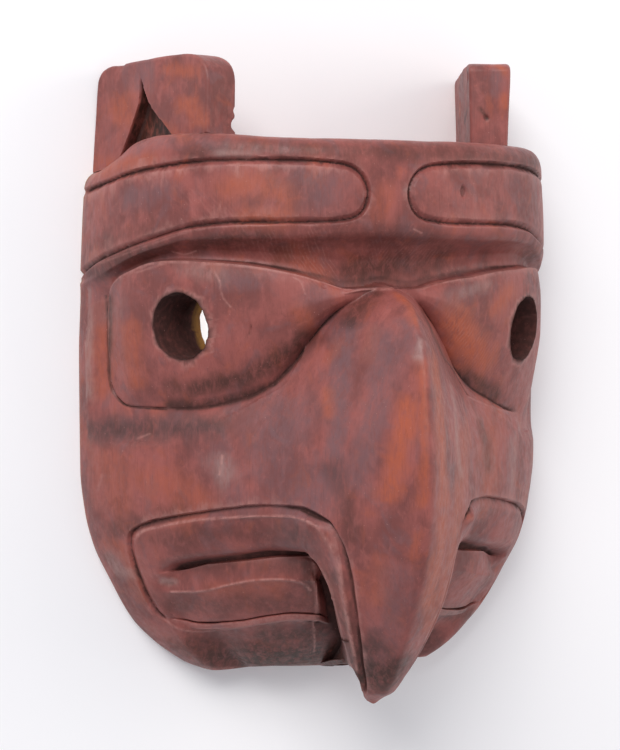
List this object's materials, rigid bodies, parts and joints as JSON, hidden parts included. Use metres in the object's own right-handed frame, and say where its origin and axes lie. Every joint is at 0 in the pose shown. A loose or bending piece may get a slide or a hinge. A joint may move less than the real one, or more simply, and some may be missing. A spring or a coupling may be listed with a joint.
{
  "type": "carved bird mask",
  "caption": "Carved wooden bird mask with hooked beak, banded forehead, pierced eyes and slab ears, hollow behind.",
  "frame": {"origin": "middle of the lying mask's outline, on the plane of its flat back", "axes": "+X towards the right as seen from the front, +Y from the chin to the ears, +Z out of the face"},
  "size_m": [0.1986, 0.2522, 0.1282],
  "materials": {
    "stained_wood": "satin red-brown stain over carved wood, worn to orange on edges"
  },
  "bodies": {
    "root": {"mask_face": "stained_wood", "left_ear": "stained_wood", "right_ear": "stained_wood"}
  },
  "joints": []
}
